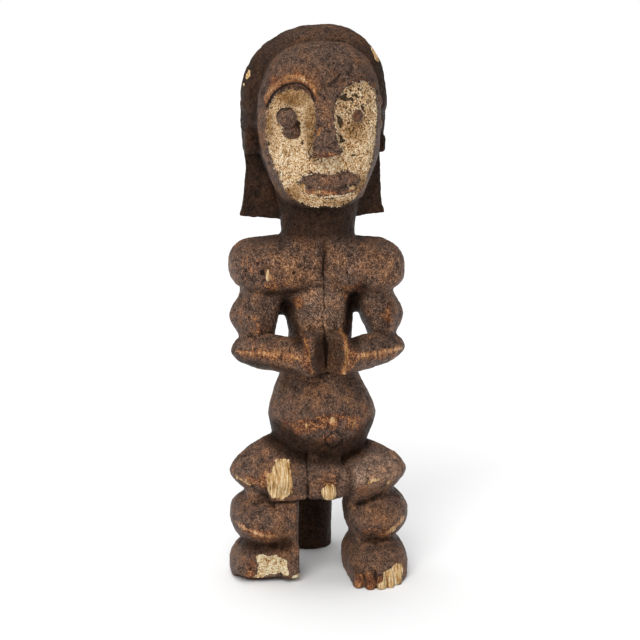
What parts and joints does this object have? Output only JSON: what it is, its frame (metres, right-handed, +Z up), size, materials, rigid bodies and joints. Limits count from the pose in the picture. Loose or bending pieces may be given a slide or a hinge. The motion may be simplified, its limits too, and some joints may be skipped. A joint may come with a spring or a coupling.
{
  "type": "carved wooden figure with a rear post",
  "caption": "Standing carved wooden figure with a helmet-like hood, whitened face, hands at the waist, bulging limbs and a rear post as a third leg.",
  "frame": {"origin": "on the standing plane, under the middle of the figure's outer box", "axes": "+Z up along the log the figure is carved from, the face looks along -Y, +X at the viewer's right"},
  "size_m": [0.164, 0.164, 0.5],
  "materials": {
    "carved_wood": "dark encrusted patina, worn to reddish brown and to pale bare wood at edges and breaks, with a whitened face"
  },
  "bodies": {
    "root": {"figure": "carved_wood"}
  },
  "joints": []
}
